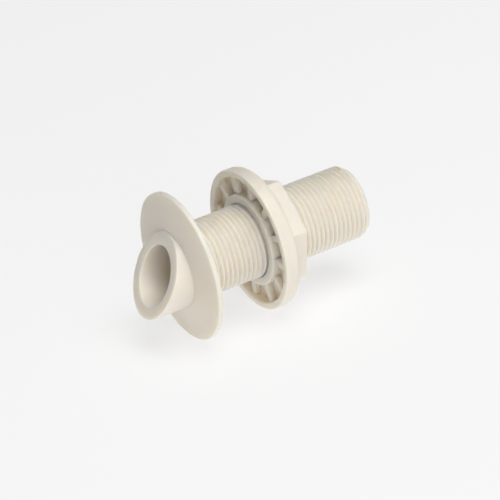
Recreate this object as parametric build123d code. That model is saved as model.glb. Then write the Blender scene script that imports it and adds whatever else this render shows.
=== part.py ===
from build123d import *
import os

# A plastic thru hull fitting for a boat, in two pieces. The fitting body is one moulding:
# a round flange that sits on the outside of the hull, a drip spout in front of it, and a
# threaded barrel that goes through the hull. The flange nut runs on the barrel inside.
#
# Y is the axis of the barrel, pointing inboard. The origin is on the axis, in the plane of
# the flange's back face, where it seats on the hull. Z is up, and the long lip of the
# spout is at the bottom.

# Barrel and its thread, a 3/4 inch parallel pipe thread
THREAD_OD = 26.44
THREAD_PITCH = 1.814
THREAD_DEPTH = 1.16
BARREL_LENGTH = 67.5
BORE_D = 19.0
COLLAR_LENGTH = 1.2
THREAD_START = 2.6
THREAD_END_GAP = 0.9
END_CHAMFER_RADIAL = 1.4
END_CHAMFER_AXIAL = 2.0
BORE_CHAMFER = 0.5

# Shares of the pitch that a thread ridge takes at its crest and at its base
CREST_SHARE = 0.16
BASE_SHARE = 0.84
THREAD_SINK = 0.1

# Hull flange, a shallow cone with a rounded rim
FLANGE_D = 52.8
FLANGE_EDGE = 1.8
FLANGE_RISE = 2.0
FLANGE_RIM_ROUND = 0.6

# Drip spout, cut off at a slant: its lip reaches furthest at the bottom, and at the top it
# barely stands out of the flange
SPOUT_OD = 27.2
SPOUT_REACH = 18.2
SPOUT_TOP_LIP = 0.54
SPOUT_ROUND = 0.35

# Flange nut, with its hull side at NUT_PLACE when the fitting is at rest
NUT_PLACE = 25.4
NUT_HEIGHT = 13.3
NUT_FLANGE_D = 50.6
NUT_FLANGE_EDGE = 5.6
NUT_FLANGE_RISE = 2.0
NUT_FLANGE_BACK_ROUND = 3.0
NUT_FLANGE_RIM_ROUND = 0.5
HEX_WALL = 4.06
HEX_TURN = 15.0
HEX_CORNER_ROUND = 1.0
HEX_END_ROUND = 0.6

# Hull side of the nut: a rim, a hub, and a ring of pockets with ribs between them
NUT_RIM_WALL = 2.5
NUT_HUB_WALL = 3.06
POCKET_FLOOR = 2.0
POCKET_CORNER = 0.8
RIB_COUNT = 12
RIB_THICKNESS = 2.2
RIB_DROP = 1.4
RIB_TURN = 17.5

# The nut's hole clears the barrel's crests, so that the nut can slide, and its thread is a
# groove in the hole that stops short of both ends
NUT_CLEARANCE = 0.12
NUT_THREAD_DEPTH = 0.8
NUT_THREAD_LAND = 1.2
NUT_ENTRY_CHAMFER = 0.25

INBOARD = (0, 1, 0)


def turned(*corners):
    """A solid of revolution about Y, from corners of (radius, y, round)."""
    points = [(radius, y) for radius, y, _ in corners]
    rounds = [corner_round for _, _, corner_round in corners]
    outline = make_face(FilletPolyline(*points, radius=rounds, close=True))
    return revolve(outline, axis=Axis.Y)


def ridge(root_radius, height, start, length):
    """A helical thread ridge about Y, sunk a little into what it stands on."""
    path = Pos(0, start, 0) * Helix(THREAD_PITCH, length, root_radius, direction=INBOARD)
    foot = path @ 0
    section = Plane(origin=foot, x_dir=(foot.X, 0, foot.Z), z_dir=path % 0)
    half_base = THREAD_PITCH * BASE_SHARE / 2
    half_crest = THREAD_PITCH * CREST_SHARE / 2
    outline = Polyline(
        (-THREAD_SINK, -half_base),
        (-THREAD_SINK, half_base),
        (height, half_crest),
        (height, -half_crest),
        close=True,
    )
    return sweep(make_face(section * outline), path=path, is_frenet=True)


def spout():
    """The drip spout, a tube cut off by a slanting plane, with both edges of its lip rounded."""
    outer = SPOUT_OD / 2
    bore = BORE_D / 2
    top_lip = FLANGE_EDGE + FLANGE_RISE + SPOUT_TOP_LIP
    slope = (SPOUT_REACH - top_lip) / SPOUT_OD
    tube = turned(
        (bore, -SPOUT_REACH, 0),
        (outer, -SPOUT_REACH, 0),
        (outer, -FLANGE_EDGE, 0),
        (bore, -FLANGE_EDGE, 0),
    )
    slant = Plane(origin=(0, -SPOUT_REACH, -outer), z_dir=(0, 1, -slope))
    tube = split(tube, bisect_by=slant, keep=Keep.TOP)
    lip = tube.faces().sort_by(lambda face: face.center().Y)[0]
    return fillet(lip.edges(), SPOUT_ROUND)


def hull_flange():
    rim = FLANGE_D / 2
    bore = BORE_D / 2
    root = SPOUT_OD / 2
    front = -(FLANGE_EDGE + FLANGE_RISE)
    return turned(
        (bore, 0, 0),
        (bore, front, 0),
        (root, front, 0),
        (rim, -FLANGE_EDGE, FLANGE_RIM_ROUND),
        (rim, 0, FLANGE_RIM_ROUND),
    )


def barrel():
    """The barrel with its thread, chamfered at the inboard end."""
    crest = THREAD_OD / 2
    root = crest - THREAD_DEPTH
    bore = BORE_D / 2
    tail = BARREL_LENGTH
    core = turned((bore, 0, 0), (root, 0, 0), (root, tail, 0), (bore, tail, 0))
    collar = turned((bore, 0, 0), (crest, 0, 0), (crest, COLLAR_LENGTH, 0), (bore, COLLAR_LENGTH, 0))
    thread = ridge(root, THREAD_DEPTH, THREAD_START, tail - THREAD_START - THREAD_END_GAP)
    outside = turned(
        (crest + END_CHAMFER_RADIAL, tail - 2 * END_CHAMFER_AXIAL, 0),
        (crest - END_CHAMFER_RADIAL, tail, 0),
        (crest - END_CHAMFER_RADIAL, tail + THREAD_PITCH, 0),
        (crest + END_CHAMFER_RADIAL, tail + THREAD_PITCH, 0),
    )
    end_wall = crest - END_CHAMFER_RADIAL - bore
    # At most a third of the wall that it is cut in
    bore_chamfer = min(BORE_CHAMFER, end_wall / 3)
    inside = turned(
        (bore - bore_chamfer, tail, 0),
        (bore, tail - bore_chamfer, 0),
        (bore + bore_chamfer, tail, 0),
    )
    return core + collar + thread - outside - inside


def fitting_body():
    return barrel() + hull_flange() + spout()


def nut_hole():
    """The radius of the nut's hole, between the grooves of its thread."""
    return THREAD_OD / 2 + NUT_CLEARANCE


def nut_outside():
    """The nut's flange with its hexagon, before anything is cut out of it."""
    rim = NUT_FLANGE_D / 2
    flat = nut_hole() + HEX_WALL
    back = NUT_FLANGE_EDGE + NUT_FLANGE_RISE
    flange = turned(
        (0, 0, 0),
        (rim, 0, NUT_FLANGE_RIM_ROUND),
        (rim, NUT_FLANGE_EDGE, NUT_FLANGE_BACK_ROUND),
        (flat, back, 0),
        (0, back, 0),
    )
    hexagon = RegularPolygon(flat, 6, major_radius=False, rotation=HEX_TURN)
    hexagon = fillet(hexagon.vertices(), HEX_CORNER_ROUND)
    prism = extrude(Plane.XZ * hexagon, amount=-NUT_HEIGHT)
    prism = fillet(prism.faces().sort_by(Axis.Y)[-1].edges(), HEX_END_ROUND)
    return flange + prism


def pockets():
    """What is cut out between the nut's rim and its hub: a shallow ring, and pockets below it."""
    inner = nut_hole() + NUT_HUB_WALL
    outer = NUT_FLANGE_D / 2 - NUT_RIM_WALL
    shallow = turned((inner, 0, 0), (outer, 0, 0), (outer, RIB_DROP, 0), (inner, RIB_DROP, 0))
    between = Circle(outer) - Circle(inner)
    for i in range(RIB_COUNT):
        turn = Rot(0, 0, RIB_TURN + 360 * i / RIB_COUNT)
        between = between - turn * Pos(outer, 0) * Rectangle(2 * outer, RIB_THICKNESS)
    between = fillet(between.vertices(), POCKET_CORNER)
    deep = extrude(Plane.XZ * between, amount=POCKET_FLOOR - NUT_FLANGE_EDGE)
    return shallow + deep


def flange_nut():
    hole = nut_hole()
    entry = hole + NUT_ENTRY_CHAMFER
    drill = turned(
        (0, 0, 0),
        (entry, 0, 0),
        (hole, NUT_ENTRY_CHAMFER, 0),
        (hole, NUT_HEIGHT - NUT_ENTRY_CHAMFER, 0),
        (entry, NUT_HEIGHT, 0),
        (0, NUT_HEIGHT, 0),
    )
    start = NUT_THREAD_LAND + THREAD_PITCH / 2
    groove = ridge(hole, NUT_THREAD_DEPTH, start, NUT_HEIGHT - 2 * start)
    return Pos(0, NUT_PLACE, 0) * (nut_outside() - pockets() - drill - groove)


os.makedirs("parts", exist_ok=True)
export_step(fitting_body(), "parts/fitting_body.step")
export_step(flange_nut(), "parts/flange_nut.step")
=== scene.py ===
import math

import bmesh
import bpy
from mathutils import Matrix, Vector


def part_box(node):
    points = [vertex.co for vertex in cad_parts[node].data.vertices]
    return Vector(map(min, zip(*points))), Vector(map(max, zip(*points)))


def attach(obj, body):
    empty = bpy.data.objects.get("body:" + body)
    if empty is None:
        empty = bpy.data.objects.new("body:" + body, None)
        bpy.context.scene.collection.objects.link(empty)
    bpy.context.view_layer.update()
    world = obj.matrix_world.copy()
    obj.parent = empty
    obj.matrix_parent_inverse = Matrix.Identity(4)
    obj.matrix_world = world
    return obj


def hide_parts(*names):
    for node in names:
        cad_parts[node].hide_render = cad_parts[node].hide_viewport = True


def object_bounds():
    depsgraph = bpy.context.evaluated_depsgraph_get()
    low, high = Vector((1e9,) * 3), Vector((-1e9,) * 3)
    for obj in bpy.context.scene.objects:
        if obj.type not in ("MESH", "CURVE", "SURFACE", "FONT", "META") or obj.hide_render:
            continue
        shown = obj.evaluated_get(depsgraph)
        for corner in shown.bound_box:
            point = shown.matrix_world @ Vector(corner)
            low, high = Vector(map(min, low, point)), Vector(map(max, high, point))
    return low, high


bl_info = {
    "name": "Thru Hull Fitting",
    "version": (1, 0, 0),
    "blender": (4, 5, 0),
    "location": "3D View > Sidebar > Fitting",
    "description": "Models a moulded thru hull fitting and its flange nut around their frame",
    "category": "Object",
}

MM = 0.001

# How near a vertex has to be to a place to count as being on it
SLACK = 0.01 * MM
# Cuts and merges act within these distances, well below the smallest round
CUT_THRESHOLD = 0.001 * MM
MERGE_THRESHOLD = 0.002 * MM
TURNED_SEGMENTS = 128

# The frame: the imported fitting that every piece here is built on
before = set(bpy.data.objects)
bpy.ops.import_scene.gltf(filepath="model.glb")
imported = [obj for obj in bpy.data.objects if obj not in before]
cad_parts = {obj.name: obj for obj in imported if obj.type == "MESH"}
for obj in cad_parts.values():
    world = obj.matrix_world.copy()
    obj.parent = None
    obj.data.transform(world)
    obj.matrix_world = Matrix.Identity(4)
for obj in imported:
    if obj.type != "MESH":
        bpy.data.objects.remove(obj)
cad_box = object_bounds()
_, body_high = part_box("fitting_body")
nut_low, nut_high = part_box("flange_nut")


# ---------------------------------------------------------------- sizes and colours


def length(name, description, default):
    """A length that a user can change."""
    return bpy.props.FloatProperty(
        name=name, description=description, default=default, unit="LENGTH", subtype="DISTANCE"
    )


def colour(name, description, default):
    return bpy.props.FloatVectorProperty(
        name=name, description=description, default=default, subtype="COLOR", size=4, min=0, max=1
    )


class FittingSizes(bpy.types.PropertyGroup):
    """The moulding: barrel, hull flange and spout."""

    barrel_end: length("Barrel end", "Inboard end of the barrel", body_high.y)
    spout_end: length("Spout reach", "How far the sharp tip of the spout would stand out", 18.2 * MM)
    flange_radius: length("Flange radius", "Outside radius of the hull flange", body_high.x)
    bore: length("Bore", "Radius of the water way", 9.5 * MM)
    thread_radius: length("Thread radius", "Crest radius of the barrel's thread", 13.22 * MM)
    thread_pitch: length("Thread pitch", "From one crest to the next", 1.814 * MM)
    thread_depth: length("Thread depth", "From crest to root", 1.16 * MM)
    thread_start: length("Thread start", "Where the thread leaves the collar", 1.9 * MM)
    collar_length: length("Collar length", "Plain collar behind the flange", 1.2 * MM)
    chamfer_across: length("End chamfer", "Radial size of the chamfer on the barrel's end", 1.4 * MM)
    chamfer_along: length("End chamfer length", "Axial size of that chamfer", 2.0 * MM)
    bore_chamfer: length("Bore chamfer", "Chamfer at the bore's inboard end", 0.5 * MM)
    flange_edge: length("Flange edge", "Thickness of the flange at its rim", 1.8 * MM)
    flange_rise: length("Flange rise", "How much the flange thickens to the spout", 2.0 * MM)
    spout_radius: length("Spout radius", "Outside radius of the spout", 13.6 * MM)
    spout_slant: bpy.props.FloatProperty(
        name="Spout slant",
        description="How far the spout's cut is turned from square",
        default=math.radians(27),
        subtype="ANGLE",
    )
    lip_round: length("Lip round", "Round on both edges of the spout's lip", 0.35 * MM)
    rim_round: length("Rim round", "Round on the flange's rim", 0.6 * MM)


class NutSizes(bpy.types.PropertyGroup):
    """The flange nut."""

    face: length("Nut face", "Where the nut's hull side is at rest", nut_low.y)
    end: length("Nut end", "Where the nut's hexagon ends at rest", nut_high.y)
    flange_radius: length("Flange radius", "Outside radius of the nut's flange", nut_high.x)
    flange_edge: length("Flange edge", "Height of the flange at its rim", 5.6 * MM)
    flange_rise: length("Flange rise", "How much the flange rises to the hexagon", 2.0 * MM)
    back_round: length("Back round", "Round on the flange's back", 3.0 * MM)
    face_round: length("Face round", "Round on the flange's hull side", 0.5 * MM)
    flat_radius: length("Flat radius", "From the axis to a flat of the hexagon", 17.4 * MM)
    corner_round: length("Corner round", "Round on the hexagon's corners", 1.0 * MM)
    end_round: length("End round", "Round on the hexagon's end", 0.6 * MM)
    hexagon_turn: bpy.props.FloatProperty(
        name="Hexagon turn",
        description="Angle of the hexagon's first corner",
        default=math.radians(15),
        subtype="ANGLE",
    )
    hole_radius: length("Hole radius", "Radius of the hole between the thread's grooves", 13.34 * MM)
    thread_depth: length("Thread depth", "Depth of the groove that is the nut's thread", 0.8 * MM)
    thread_land: length("Thread land", "Plain hole at both ends of the thread", 1.2 * MM)
    entry: length("Entry chamfer", "Chamfer at both ends of the hole", 0.25 * MM)
    rim_wall: length("Rim wall", "Wall outside the pockets", 2.5 * MM)
    hub_wall: length("Hub wall", "Wall between the pockets and the hole", 3.06 * MM)
    pocket_depth: length("Pocket depth", "Depth of the pockets", 3.6 * MM)
    pocket_corner: length("Pocket corner", "Round in the corners of a pocket", 0.8 * MM)
    rib_thickness: length("Rib thickness", "Thickness of a rib", 2.2 * MM)
    rib_drop: length("Rib drop", "How far the ribs stand below the rim", 1.4 * MM)
    rib_turn: bpy.props.FloatProperty(
        name="Rib turn", description="Angle of the first rib", default=math.radians(17.5), subtype="ANGLE"
    )
    rib_count: bpy.props.IntProperty(name="Ribs", description="Number of ribs", default=12, min=1)


class FinishColours(bpy.types.PropertyGroup):
    """Colours of the plastic and of the stage."""

    plastic: colour("Plastic", "Off-white nylon", (0.77, 0.725, 0.65, 1))
    warm: colour("Warm plastic", "Where the nylon has yellowed a little", (0.76, 0.705, 0.615, 1))
    # The thread root's colour is painted shade: the body's thread roots are laid darker and yellower where
    # shade falls between the ridges.
    root: colour("Thread root", "Down in the thread", (0.75, 0.69, 0.595, 1))
    floor: colour("Floor", "The floor's paint, before its glow", (0.25, 0.25, 0.25, 1))
    floor_light: colour("Light floor", "Where the paint is a little lighter", (0.3, 0.3, 0.3, 1))


# ---------------------------------------------------------------- working by hand, in code


def only(piece):
    """Makes a piece the only one selected, and the active one."""
    bpy.ops.object.select_all(action="DESELECT")
    bpy.context.view_layer.objects.active = piece
    piece.select_set(True)


def edit(piece, kind):
    """Opens a piece in edit mode with nothing selected."""
    only(piece)
    bpy.ops.object.mode_set(mode="EDIT")
    bpy.ops.mesh.select_mode(type=kind)
    bpy.ops.mesh.select_all(action="DESELECT")


def done():
    bpy.ops.object.mode_set(mode="OBJECT")


def pick(piece, kind, test):
    """Selects the vertices, edges or faces that pass a test, and only those."""
    bpy.ops.mesh.select_mode(type=kind)
    bpy.ops.mesh.select_all(action="DESELECT")
    mesh = bmesh.from_edit_mesh(piece.data)
    for part in {"VERT": mesh.verts, "EDGE": mesh.edges, "FACE": mesh.faces}[kind]:
        if test(part):
            part.select_set(True)
    mesh.select_flush_mode()
    bmesh.update_edit_mesh(piece.data)


def from_axis(point):
    """How far a point is from the barrel's axis, which is Y."""
    return math.hypot(point.x, point.z)


def on_ring(y):
    """A test for the edges of the open ring at one place along the axis."""

    def test(edge):
        return edge.is_boundary and all(abs(v.co.y - y) < SLACK for v in edge.verts)

    return test


def centre_of(part):
    """The middle of an edge or a face."""
    return sum((v.co for v in part.verts), Vector()) / len(part.verts)


def rounded(corners, steps=5):
    """An outline of (radius, y) through corners of (radius, y, round), with arcs at the rounds."""
    points = []
    for i, (radius, y, size) in enumerate(corners):
        here = Vector((radius, y))
        if not size:
            points.append(here)
            continue
        before = (Vector(corners[i - 1][:2]) - here).normalized()
        after = (Vector(corners[i + 1][:2]) - here).normalized()
        half = before.angle(after) / 2
        centre = here + (before + after).normalized() * size / math.sin(half)
        first = here + before * size / math.tan(half) - centre
        last = here + after * size / math.tan(half) - centre
        sweep = first.angle_signed(last)
        for step in range(steps + 1):
            turn = Matrix.Rotation(-sweep * step / steps, 2)
            points.append(centre + turn @ first)
    return points


def extend_ring(outline):
    """Extrudes the selected ring of edges through an outline, from its first point on."""
    for here, there in zip(outline, outline[1:]):
        bpy.ops.mesh.extrude_edges_move(TRANSFORM_OT_translate={"value": (0, there.y - here.y, 0)})
        scale = there.x / here.x
        bpy.ops.transform.resize(value=(scale, 1, scale), center_override=(0, 0, 0))


def apply_modifier(piece, kind, **settings):
    only(piece)
    modifier = piece.modifiers.new(kind.lower(), kind)
    for name, value in settings.items():
        setattr(modifier, name, value)
    bpy.ops.object.modifier_apply(modifier=modifier.name)


def cut(piece, cutter, operation="DIFFERENCE"):
    apply_modifier(piece, "BOOLEAN", operation=operation, object=cutter, solver="EXACT")
    bpy.data.objects.remove(cutter)


def outward(piece):
    """Merges doubles and turns all faces outwards."""
    edit(piece, "FACE")
    bpy.ops.mesh.select_all(action="SELECT")
    bpy.ops.mesh.remove_doubles(threshold=MERGE_THRESHOLD)
    bpy.ops.mesh.normals_make_consistent(inside=False)
    done()


def circle(name, start):
    """A circle about Y through a point of (radius, y), open in edit mode with all its edges selected."""
    bpy.ops.mesh.primitive_circle_add(
        vertices=TURNED_SEGMENTS, radius=start.x, location=(0, start.y, 0), rotation=(math.pi / 2, 0, 0)
    )
    piece = bpy.context.active_object
    piece.name = name
    bpy.ops.object.transform_apply()
    edit(piece, "EDGE")
    bpy.ops.mesh.select_all(action="SELECT")
    return piece


def lathe(name, outline):
    """A turned solid about Y, with a flat disc at each end of its outline of (radius, y)."""
    piece = circle(name, outline[0])
    bpy.ops.mesh.edge_face_add()
    bpy.ops.mesh.select_mode(type="EDGE")
    extend_ring(outline)
    bpy.ops.mesh.edge_face_add()
    done()
    outward(piece)
    return piece


def ring(name, outline):
    """A ring about Y, with a closed outline as its section."""
    piece = circle(name, outline[0])
    extend_ring([*outline, outline[0]])
    done()
    outward(piece)
    return piece


# ---------------------------------------------------------------- threads

# Shares of the pitch that a ridge takes at its crest and at its base
CREST_SHARE = 0.16
BASE_SHARE = 0.84
# Points across one ridge, and steps in one turn of it
RIDGE_POINTS = 12
THREAD_STEPS = 96


def ridge_height(place):
    """Height of a softened ridge, as a share of its depth, at a place from -0.5 to 0.5 of the pitch."""
    slope = (BASE_SHARE / 2 - abs(place)) / (BASE_SHARE / 2 - CREST_SHARE / 2)
    slope = min(max(slope, 0), 1)
    return (slope + slope * slope * (3 - 2 * slope)) / 2


def thread_wall(name, root, depth, pitch, start, end):
    """The open helical wall of a right-hand thread about Y, a little longer at both ends than asked.

    One ridge is drawn out from a single point, and the ridge is then turned into a helix.
    """
    bpy.ops.mesh.primitive_plane_add(size=MM)
    wall = bpy.context.active_object
    wall.name = name
    edit(wall, "VERT")
    bpy.ops.mesh.select_all(action="SELECT")
    bpy.ops.mesh.merge(type="CENTER")
    bpy.ops.transform.translate(value=(root, start - 2 * pitch, 0))
    height = 0
    for point in range(1, RIDGE_POINTS + 1):
        rise = depth * ridge_height(point / RIDGE_POINTS - 0.5)
        step = (rise - height, pitch / RIDGE_POINTS, 0)
        bpy.ops.mesh.extrude_vertices_move(TRANSFORM_OT_translate={"value": step})
        height = rise
    done()
    apply_modifier(
        wall,
        "SCREW",
        axis="Y",
        screw_offset=pitch,
        iterations=math.ceil((end - start) / pitch) + 3,
        steps=THREAD_STEPS,
        render_steps=THREAD_STEPS,
        use_merge_vertices=True,
        merge_threshold=MERGE_THRESHOLD,
    )
    outward(wall)
    return wall


def set_radius(piece, rule):
    """Moves each vertex in or out, to the distance from the axis that a rule gives it."""
    for vertex in piece.data.vertices:
        radius = from_axis(vertex.co)
        scale = rule(radius, vertex.co.y) / radius
        vertex.co.x *= scale
        vertex.co.z *= scale


def trim(wall, start, end, fill=False):
    """Cuts a wall off square at both ends."""
    for place, direction in ((start, -1), (end, 1)):
        edit(wall, "FACE")
        bpy.ops.mesh.select_all(action="SELECT")
        bpy.ops.mesh.bisect(
            plane_co=(0, place, 0),
            plane_no=(0, direction, 0),
            clear_outer=True,
            use_fill=fill,
            threshold=CUT_THRESHOLD,
        )
        done()


# ---------------------------------------------------------------- the fitting body

# Rings of faces along the bore
BORE_STEPS = 20
COLLAR_ROUND = 0.25 * MM
# How far the spout is drawn past its tip before it is cut off
SPOUT_SPARE = 2 * MM
# How near the bore's radius the middle of a face has to be to be part of the bore
BORE_SLACK = 0.1 * MM


def slant_height(sizes, point):
    """How far a point is inboard of the plane that cuts the spout off."""
    lip = Vector((0, -sizes.spout_end, -sizes.spout_radius))
    return (point - lip).dot(slant_normal(sizes))


def slant_normal(sizes):
    return Vector((0, math.cos(sizes.spout_slant), -math.sin(sizes.spout_slant)))


def make_body(sizes):
    crest = sizes.thread_radius
    root = crest - sizes.thread_depth
    start = sizes.thread_start
    end = sizes.barrel_end
    body = thread_wall("moulded_body", root, sizes.thread_depth, sizes.thread_pitch, start, end)

    def runs_out(radius, y):
        """The thread grows out of its root at the flange, and runs into the chamfer at the end."""
        grown = min(max((y - start) / sizes.thread_pitch * 2, 0), 1)
        chamfer = crest - sizes.chamfer_across * (y - end + sizes.chamfer_along) / sizes.chamfer_along
        return min(root + (radius - root) * grown, max(chamfer, crest - sizes.chamfer_across))

    set_radius(body, runs_out)
    trim(body, start, end)

    front = -(sizes.flange_edge + sizes.flange_rise)
    beyond = -sizes.spout_end - SPOUT_SPARE
    outside = rounded(
        [
            (root, start, 0),
            (root, sizes.collar_length, 0),
            (crest, sizes.collar_length, COLLAR_ROUND),
            (crest, 0, 0),
            (sizes.flange_radius, 0, sizes.rim_round),
            (sizes.flange_radius, -sizes.flange_edge, sizes.rim_round),
            (sizes.spout_radius, front, 0),
            (sizes.spout_radius, beyond, 0),
        ]
    )
    edit(body, "EDGE")
    pick(body, "EDGE", on_ring(start))
    extend_ring(outside)

    inside = [Vector((crest - sizes.chamfer_across, end)), Vector((sizes.bore + sizes.bore_chamfer, end))]
    bore_end = end - sizes.bore_chamfer
    for step in range(BORE_STEPS + 1):
        inside.append(Vector((sizes.bore, bore_end + (front - bore_end) * step / BORE_STEPS)))
    inside.append(Vector((sizes.bore, beyond)))
    pick(body, "EDGE", on_ring(end))
    extend_ring(inside)

    def on_tubes(face):
        middle = centre_of(face)
        on_spout = middle.y < front and from_axis(middle) > sizes.bore
        return on_spout or abs(from_axis(middle) - sizes.bore) < BORE_SLACK

    pick(body, "FACE", on_tubes)
    lip = (0, -sizes.spout_end, -sizes.spout_radius)
    bpy.ops.mesh.bisect(
        plane_co=lip, plane_no=slant_normal(sizes), clear_inner=True, threshold=CUT_THRESHOLD
    )
    pick(body, "EDGE", lambda edge: edge.is_boundary)
    bpy.ops.mesh.bridge_edge_loops()
    done()
    outward(body)

    def lip_edge(edge):
        """The edges that run round the cut face, and not those that cross its wall."""
        flat = all(abs(slant_height(sizes, v.co)) < SLACK for v in edge.verts)
        first, last = (from_axis(v.co) for v in edge.verts)
        return flat and abs(first - last) < sizes.lip_round

    edit(body, "EDGE")
    pick(body, "EDGE", lip_edge)
    bpy.ops.mesh.bevel(offset=sizes.lip_round, segments=3, affect="EDGES")
    done()
    outward(body)
    return body


# ---------------------------------------------------------------- the flange nut

# Radius of the disc that the nut's flange is turned from, inside the hole that is cut later
NUT_DISC = 5 * MM
# How far a cutter stands past what it cuts
CLEAR = MM
POCKET_MOUTH_EASE = 0.3 * MM
POCKET_FLOOR_ROUND = 0.5 * MM
# Two faces that meet at more than this angle have a sharp edge between them
SHARP = math.radians(60)
# How near an edge has to be to the hub or the rim, and how tall, to be a corner of a pocket
WALL_SLACK = 0.02 * MM
CORNER_HEIGHT = 0.1 * MM


def hexagon(sizes):
    """The nut's hexagon, with its corners and its end rounded."""
    middle = (sizes.face + sizes.flange_edge / 2 + sizes.end) / 2
    depth = sizes.end - sizes.face - sizes.flange_edge / 2
    bpy.ops.mesh.primitive_cylinder_add(
        vertices=6,
        radius=sizes.flat_radius / math.cos(math.pi / 6),
        depth=depth,
        location=(0, middle, 0),
        rotation=(math.pi / 2, math.pi / 6 - sizes.hexagon_turn, 0),
    )
    prism = bpy.context.active_object
    prism.name = "hexagon"
    bpy.ops.object.transform_apply()
    edit(prism, "EDGE")
    pick(prism, "EDGE", lambda edge: abs(edge.verts[0].co.y - edge.verts[1].co.y) > depth / 2)
    bpy.ops.mesh.bevel(offset=sizes.corner_round * math.tan(math.pi / 6), segments=5, affect="EDGES")
    pick(prism, "EDGE", lambda edge: all(v.co.y > sizes.end - SLACK for v in edge.verts))
    bpy.ops.mesh.bevel(offset=sizes.end_round, segments=4, affect="EDGES")
    done()
    outward(prism)
    return prism


def rib_set(sizes, inner, outer):
    """Bars as wide as the ribs, modelled once and copied round the axis."""
    top = sizes.face + sizes.rib_drop
    bottom = sizes.face + sizes.pocket_depth + CLEAR
    bpy.ops.mesh.primitive_cube_add(size=1, location=((inner + outer) / 2, (top + bottom) / 2, 0))
    rib = bpy.context.active_object
    rib.name = "ribs"
    rib.scale = (outer - inner + 2 * CLEAR, bottom - top, sizes.rib_thickness)
    bpy.ops.object.transform_apply()
    edit(rib, "EDGE")
    bpy.ops.mesh.select_all(action="SELECT")
    bpy.ops.transform.rotate(value=sizes.rib_turn, orient_axis="Y", center_override=(0, 0, 0))
    for _ in range(sizes.rib_count - 1):
        bpy.ops.mesh.duplicate()
        bpy.ops.transform.rotate(
            value=2 * math.pi / sizes.rib_count, orient_axis="Y", center_override=(0, 0, 0)
        )
    done()
    outward(rib)
    return rib


def pocket_cutter(sizes):
    """What is cut out of the nut's hull side: a ring, less the ribs, with its upright corners rounded."""
    inner = sizes.hole_radius + sizes.hub_wall
    outer = sizes.flange_radius - sizes.rim_wall
    ease = POCKET_MOUTH_EASE
    top = sizes.face
    bottom = sizes.face + sizes.pocket_depth
    rib_top = top + sizes.rib_drop
    outline = rounded(
        [
            (inner, top + ease, 0),
            (inner, bottom, POCKET_FLOOR_ROUND),
            (outer, bottom, POCKET_FLOOR_ROUND),
            (outer, top + ease, 0),
            (outer + ease + CLEAR, top - CLEAR, 0),
            (inner - ease - CLEAR, top - CLEAR, 0),
        ]
    )
    cutter = ring("pockets", outline)
    cut(cutter, rib_set(sizes, inner, outer))

    def pocket_corner(edge):
        """The upright edges where a rib meets the hub or the rim."""
        low, high = sorted(v.co.y for v in edge.verts)
        radius = from_axis(centre_of(edge))
        on_wall = min(abs(radius - inner), abs(radius - outer)) < WALL_SLACK
        sharp = edge.calc_face_angle(0) > SHARP
        return on_wall and sharp and low > rib_top - SLACK and high - low > CORNER_HEIGHT

    edit(cutter, "EDGE")
    pick(cutter, "EDGE", pocket_corner)
    bpy.ops.mesh.bevel(offset=sizes.pocket_corner, segments=4, affect="EDGES")
    done()
    outward(cutter)
    return cutter


def tap(sizes):
    """A threaded rod that cuts the nut's hole, its thread and the chamfers at both ends."""
    hole = sizes.hole_radius
    pitch = bpy.context.scene.fitting_sizes.thread_pitch
    before = sizes.face - CLEAR
    after = sizes.end + CLEAR
    rod = thread_wall("tap", hole, sizes.thread_depth, pitch, before, after)

    def stops_short(radius, y):
        """The thread fades out before both ends of the hole, which are chamfered."""
        inset = min(y - sizes.face, sizes.end - y)
        grown = min(max((inset - sizes.thread_land) / (pitch / 2), 0), 1)
        return hole + (radius - hole) * grown + max(sizes.entry - inset, 0)

    set_radius(rod, stops_short)
    trim(rod, before, after, fill=True)
    outward(rod)
    return rod


def make_nut(sizes):
    back = sizes.face + sizes.flange_edge + sizes.flange_rise
    flange = [
        (NUT_DISC, sizes.face, 0),
        (sizes.flange_radius, sizes.face, sizes.face_round),
        (sizes.flange_radius, sizes.face + sizes.flange_edge, sizes.back_round),
        (sizes.flat_radius, back, 0),
        (NUT_DISC, back, 0),
    ]
    nut = lathe("moulded_nut", rounded(flange, steps=7))
    cut(nut, hexagon(sizes), "UNION")
    cut(nut, pocket_cutter(sizes))
    cut(nut, tap(sizes))
    outward(nut)
    return nut


# ---------------------------------------------------------------- materials

# Sockets of a Mix node that are used for colours, by number, because several share a name
MIX_AMOUNT = 0
MIX_FIRST = 6
MIX_SECOND = 7


class Wire:
    """A socket that can be used in sums, each of which adds a Math node."""

    def __init__(self, nodes, socket):
        self.nodes = nodes
        self.socket = socket

    def maths(self, operation, *values):
        return self.nodes.add("ShaderNodeMath", {"operation": operation}, dict(enumerate(values)))["Value"]

    def __add__(self, other):
        return self.maths("ADD", self, other)

    def __radd__(self, other):
        return self.maths("ADD", other, self)

    def __sub__(self, other):
        return self.maths("SUBTRACT", self, other)

    def __rsub__(self, other):
        return self.maths("SUBTRACT", other, self)

    def __mul__(self, other):
        return self.maths("MULTIPLY", self, other)

    def __rmul__(self, other):
        return self.maths("MULTIPLY", other, self)

    def __truediv__(self, other):
        return self.maths("DIVIDE", self, other)

    def __pow__(self, other):
        return self.maths("POWER", self, other)

    def clamped(self):
        """Held between 0 and 1."""
        return self.maths("MINIMUM", self.maths("MAXIMUM", self, 0), 1)


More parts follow.
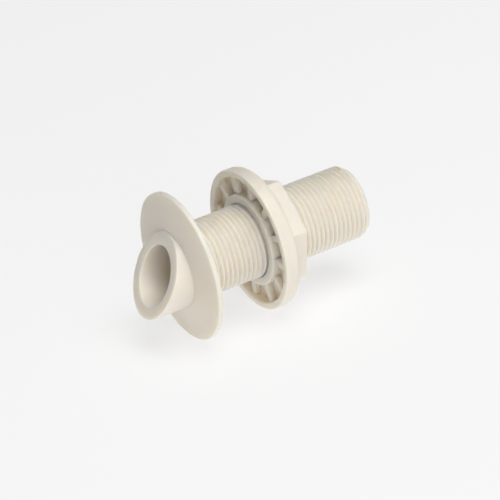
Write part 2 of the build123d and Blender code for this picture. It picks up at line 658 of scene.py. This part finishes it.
class Nodes:
    """The node tree of a material or a world, with one way to add a node to it."""

    def __init__(self, owner):
        owner.use_nodes = True
        self.tree = owner.node_tree

    def add(self, kind, settings, values):
        """Adds a node with its settings, then the values or links of its sockets."""
        node = self.tree.nodes.new(kind)
        for name, value in settings.items():
            if name == "stops":
                self.set_stops(node.color_ramp, value)
            else:
                setattr(node, name, value)
        for key, value in values.items():
            self.give(node.inputs[key], value)
        return {socket.name: Wire(self, socket) for socket in node.outputs if socket.enabled}

    def give(self, socket, value):
        if isinstance(value, Wire):
            self.tree.links.new(value.socket, socket)
        else:
            socket.default_value = value

    def set_shader(self, name, values):
        """Gives the tree's own shader node the values or links of its sockets."""
        for key, value in values.items():
            self.give(self.tree.nodes[name].inputs[key], value)

    def set_stops(self, ramp, stops):
        while len(ramp.elements) < len(stops):
            ramp.elements.new(1)
        for element, (place, level) in zip(ramp.elements, stops):
            element.position = place
            element.color = (level, level, level, 1)

    def noise(self, place, scale, detail=3, roughness=0.5):
        values = {"Vector": place, "Scale": scale, "Detail": detail, "Roughness": roughness}
        return self.add("ShaderNodeTexNoise", {}, values)["Fac"]

    def blend(self, amount, first, second):
        """A mix of two colours."""
        values = {MIX_AMOUNT: amount, MIX_FIRST: first, MIX_SECOND: second}
        return self.add("ShaderNodeMix", {"data_type": "RGBA"}, values)["Result"]


# How fine the plastic's patterns are, in repeats to a metre
CLOUD_SCALE = 60
HANDLING_SCALE = 240
GRAIN_SCALE = 2600
# Where the clouding starts, how quickly it comes in, and how much of the warmer colour it brings
CLOUD_START = 0.35
CLOUD_RANGE = 0.3
CLOUD_SHARE = 0.5
# How much of the root's colour, a painted shade, there is at the bottom of the thread, and where it stops
# inside that
ROOT_SHADE_SHARE = 0.25
ROOT_SHADE_MARGIN = 0.3 * MM
ROOT_SHADE_FADE = 0.2 * MM


def moulded_plastic(name, colours, thread=None):
    """Nylon with a satin skin, faint clouding and a fine grain, with painted shade that makes it darker
    and yellower down in a thread of (root, crest).
    """
    material = bpy.data.materials.new(name)
    nodes = Nodes(material)
    place = nodes.add("ShaderNodeTexCoord", {}, {})["Object"]

    clouds = ((nodes.noise(place, CLOUD_SCALE, detail=4) - CLOUD_START) / CLOUD_RANGE).clamped()
    base = nodes.blend(clouds * CLOUD_SHARE, tuple(colours.plastic), tuple(colours.warm))
    if thread:
        root, crest = thread
        parts = nodes.add("ShaderNodeSeparateXYZ", {}, {"Vector": place})
        radius = (parts["X"] * parts["X"] + parts["Z"] * parts["Z"]) ** 0.5
        # Painted shade: the colour darkens towards the thread's root, where shade falls between the
        # ridges, and fades out before the bore.
        root_shade_mask = ((crest - radius) / (crest - root)).clamped()
        outside_bore = ((radius - root + ROOT_SHADE_MARGIN) / ROOT_SHADE_FADE).clamped()
        base = nodes.blend(root_shade_mask * outside_bore * ROOT_SHADE_SHARE, base, tuple(colours.root))

    grain = nodes.noise(place, GRAIN_SCALE, detail=2)
    handling = nodes.noise(place, HANDLING_SCALE, detail=5, roughness=0.6)
    height = grain + handling * 0.6
    bump = nodes.add("ShaderNodeBump", {}, {"Strength": 0.12, "Distance": 0.05 * MM, "Height": height})
    nodes.set_shader(
        "Principled BSDF",
        {
            "Base Color": base,
            "Roughness": 0.34 + handling * 0.16,
            "Normal": bump["Normal"],
            "IOR": 1.5,
            "Subsurface Weight": 1.0,
            "Subsurface Radius": (1.0, 0.85, 0.6),
            "Subsurface Scale": 4 * MM,
        },
    )
    return material


def plain_floor(colours):
    """Pale matt paint that glows a little, so that the floor stays pale in a soft light."""
    material = bpy.data.materials.new("floor_paint")
    nodes = Nodes(material)
    place = nodes.add("ShaderNodeTexCoord", {}, {})["Object"]
    tone = nodes.noise(place, 3)
    nodes.set_shader(
        "Principled BSDF",
        {
            "Base Color": nodes.blend(tone * 0.1, tuple(colours.floor), tuple(colours.floor_light)),
            "Roughness": 0.9,
            "Emission Color": (1, 1, 1, 1),
            "Emission Strength": 0.7,
        },
    )
    return material


def dress(piece, material, body, node):
    """Gives a finished piece its shading, its material and its place in the frame."""
    only(piece)
    bpy.ops.object.shade_smooth_by_angle(angle=math.radians(28))
    piece.data.materials.clear()
    piece.data.materials.append(material)
    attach(piece, body)
    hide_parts(node)


# ---------------------------------------------------------------- operators


class FITTING_OT_body(bpy.types.Operator):
    """Model the moulded body: threaded barrel, hull flange and slanted spout"""

    bl_idname = "fitting.body"
    bl_label = "Moulded body"

    def execute(self, context):
        sizes = context.scene.fitting_sizes
        body = make_body(sizes)
        # The thread's radii set where the painted shade in its roots goes.
        thread = (sizes.thread_radius - sizes.thread_depth, sizes.thread_radius)
        plastic = moulded_plastic("body_nylon", context.scene.finish_colours, thread)
        dress(body, plastic, "fitting", "fitting_body")
        return {"FINISHED"}


class FITTING_OT_nut(bpy.types.Operator):
    """Model the flange nut with its ribs, hexagon and thread"""

    bl_idname = "fitting.nut"
    bl_label = "Flange nut"

    def execute(self, context):
        nut = make_nut(context.scene.nut_sizes)
        plastic = moulded_plastic("nut_nylon", context.scene.finish_colours)
        dress(nut, plastic, "nut", "flange_nut")
        return {"FINISHED"}


class FITTING_OT_stage(bpy.types.Operator):
    """Put down a pale floor, soft lights and the camera"""

    bl_idname = "fitting.stage"
    bl_label = "Stage"

    def execute(self, context):
        set_floor(context)
        set_lights(context)
        set_camera(context)
        return {"FINISHED"}


FLOOR_SIZE = 8
# Each soft box: its name, its place from the fitting's middle, its width and its power
SOFT_BOXES = (
    ("top_box", (0.45, 0.15, 1.34), 1.3, 17),
    ("side_box", (1.4, -0.3, 0.35), 1.1, 9),
)
# Brightness of the sky, from the horizon at height 0 to overhead at 1
SKY_STOPS = ((0.0, 0.8), (0.07, 0.75), (0.13, 0.1), (0.35, 0.06))


def set_floor(context):
    bpy.ops.mesh.primitive_grid_add(size=FLOOR_SIZE, location=(0, 0, 0))
    floor = context.active_object
    floor.name = "floor"
    edit(floor, "VERT")
    bpy.ops.mesh.select_all(action="SELECT")
    bpy.ops.transform.translate(value=(0, 0, cad_box[0].z))
    done()
    floor.data.materials.append(plain_floor(context.scene.finish_colours))


def soft_box(name, place, aim, width, power):
    bpy.ops.object.light_add(type="AREA", location=place)
    light = bpy.context.active_object
    light.name = name
    light.rotation_euler = (aim - place).to_track_quat("-Z", "Y").to_euler()
    light.data.shape = "DISK"
    light.data.size = width
    light.data.energy = power


def set_lights(context):
    """Soft boxes above and to the right, and a sky with a pale band at the horizon."""
    middle = (cad_box[0] + cad_box[1]) / 2
    for name, offset, width, power in SOFT_BOXES:
        soft_box(name, middle + Vector(offset), middle, width, power)
    world = bpy.data.worlds.new("studio")
    context.scene.world = world
    nodes = Nodes(world)
    place = nodes.add("ShaderNodeTexCoord", {}, {})["Generated"]
    height = nodes.add("ShaderNodeSeparateXYZ", {}, {"Vector": place})["Z"]
    ramp = nodes.add("ShaderNodeValToRGB", {"stops": SKY_STOPS}, {"Fac": height})
    nodes.set_shader("Background", {"Color": ramp["Color"]})
    context.scene.view_settings.view_transform = "Standard"


# Where the camera stands round the point that it aims at, with angles in degrees
CAMERA_AZIMUTH = 63.50
CAMERA_ELEVATION = 24.59
CAMERA_ROLL = -9.52
CAMERA_DISTANCE = 0.9534
CAMERA_AIM = (0.53 * MM, 25.43 * MM, -3.54 * MM)
CAMERA_LENS = 200.7


def set_camera(context):
    turn = (
        Matrix.Rotation(math.radians(CAMERA_AZIMUTH), 4, "Z")
        @ Matrix.Rotation(math.radians(90 - CAMERA_ELEVATION), 4, "X")
        @ Matrix.Rotation(math.radians(CAMERA_ROLL), 4, "Z")
    )
    bpy.ops.object.camera_add()
    camera = context.active_object
    back = Matrix.Translation((0, 0, CAMERA_DISTANCE))
    camera.matrix_world = Matrix.Translation(CAMERA_AIM) @ turn @ back
    camera.data.lens = CAMERA_LENS
    context.scene.camera = camera


class FITTING_PT_panel(bpy.types.Panel):
    """Lists what can be made, and its sizes"""

    bl_label = "Thru hull fitting"
    bl_idname = "FITTING_PT_panel"
    bl_space_type = "VIEW_3D"
    bl_region_type = "UI"
    bl_category = "Fitting"

    def draw(self, context):
        for operator in OPERATORS:
            self.layout.operator(operator.bl_idname)
        for group in (context.scene.fitting_sizes, context.scene.nut_sizes, context.scene.finish_colours):
            box = self.layout.box()
            for name in group.__annotations__:
                box.prop(group, name)


GROUPS = (FittingSizes, NutSizes, FinishColours)
OPERATORS = (FITTING_OT_body, FITTING_OT_nut, FITTING_OT_stage)


def register():
    for kind in (*GROUPS, *OPERATORS, FITTING_PT_panel):
        bpy.utils.register_class(kind)
    bpy.types.Scene.fitting_sizes = bpy.props.PointerProperty(type=FittingSizes)
    bpy.types.Scene.nut_sizes = bpy.props.PointerProperty(type=NutSizes)
    bpy.types.Scene.finish_colours = bpy.props.PointerProperty(type=FinishColours)


def unregister():
    del bpy.types.Scene.fitting_sizes
    del bpy.types.Scene.nut_sizes
    del bpy.types.Scene.finish_colours
    for kind in reversed((*GROUPS, *OPERATORS, FITTING_PT_panel)):
        bpy.utils.unregister_class(kind)


def main():
    register()
    bpy.ops.fitting.body()
    bpy.ops.fitting.nut()
    bpy.ops.fitting.stage()


if __name__ == "__main__":
    main()
